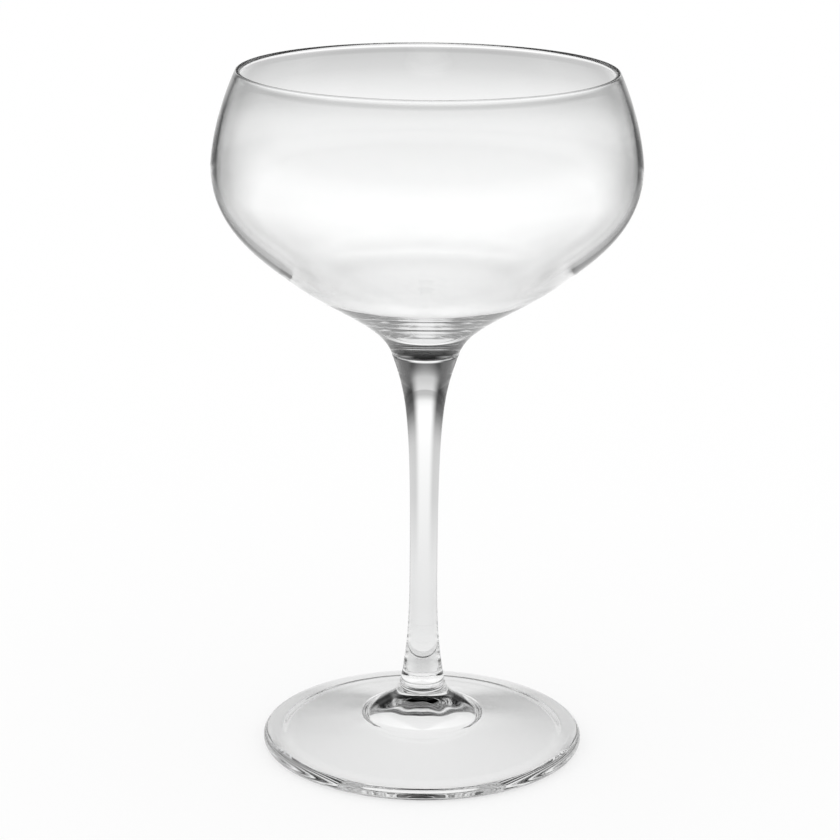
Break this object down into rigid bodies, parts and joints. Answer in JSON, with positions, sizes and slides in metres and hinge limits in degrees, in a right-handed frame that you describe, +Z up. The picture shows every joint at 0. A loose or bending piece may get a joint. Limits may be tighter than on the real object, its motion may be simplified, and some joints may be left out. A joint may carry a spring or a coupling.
{
  "type": "cocktail glass",
  "caption": "Clear stemmed coupe: a wide rounded bowl with a beaded rim on a slim flared stem and a round hollow foot, for serving cocktails.",
  "frame": {"origin": "centre of the ring that the foot stands on, on the table plane", "axes": "+Z up along the axis of the stem, X and Y level; the glass is round about Z"},
  "size_m": [0.096, 0.096, 0.158],
  "materials": {
    "clear_glass": "clear, polished"
  },
  "bodies": {
    "root": {"bowl": "clear_glass", "stem": "clear_glass", "foot": "clear_glass"}
  },
  "joints": []
}
